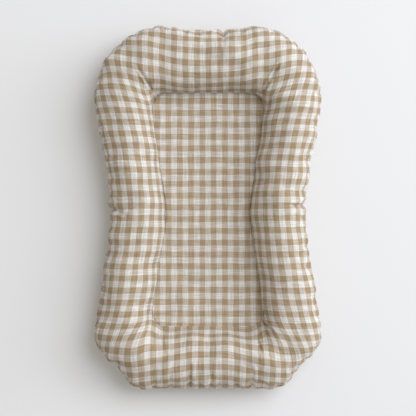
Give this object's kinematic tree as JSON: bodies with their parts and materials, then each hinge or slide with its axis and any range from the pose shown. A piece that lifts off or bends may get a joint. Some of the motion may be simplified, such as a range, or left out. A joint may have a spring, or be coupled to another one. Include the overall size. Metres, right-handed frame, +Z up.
{
  "type": "infant lounger",
  "caption": "Low stuffed ring bolster, drawn in at the waist, around a flat suspended fabric panel, in a gingham zip-off cover.",
  "frame": {"origin": "on the floor, under the middle of the lounger's bounding box", "axes": "+Z up, +Y towards the head end, +X towards the right-hand side as seen from above with the head end up"},
  "size_m": [0.46, 0.737, 0.1],
  "materials": {
    "gingham_cover": "plain-woven cotton gingham, white and tan",
    "cotton_casing": "unbleached plain cotton",
    "fibre_fill": "white polyester fibre wadding",
    "zip_tape": "woven polyester tape",
    "zip_teeth": "moulded plastic teeth, satin",
    "zip_slider": "lacquered zinc alloy"
  },
  "bodies": {
    "lounger": {"cover_top_ring": "gingham_cover", "cover_centre_panel": "gingham_cover", "cover_under_ring": "gingham_cover", "cover_under_panel": "gingham_cover", "casing_top_ring": "cotton_casing", "casing_under_ring": "cotton_casing", "casing_sling_top": "cotton_casing", "casing_sling_under": "cotton_casing", "fill_right": "fibre_fill", "fill_foot": "fibre_fill", "fill_left": "fibre_fill", "fill_head": "fibre_fill", "zip_tape_upper": "zip_tape", "zip_tape_lower": "zip_tape", "zip_teeth_upper": "zip_teeth", "zip_teeth_lower": "zip_teeth", "zip_top_stop_upper": "zip_teeth", "zip_top_stop_lower": "zip_teeth", "zip_bottom_stop": "zip_teeth"},
    "slider": {"zip_slider": "zip_slider"},
    "pull": {"zip_pull": "zip_slider"}
  },
  "joints": [
    {"name": "zip_run", "type": "slide", "parent": "lounger", "child": "slider", "axis": [1, 0, 0], "range_m": [-0.222, 0]},
    {"name": "pull_hinge", "type": "hinge", "parent": "slider", "child": "pull", "pos_m": [0.111, -0.36297, 0.02835], "axis": [0, -0.5315, 0.847], "range_deg": [0, 180]}
  ]
}
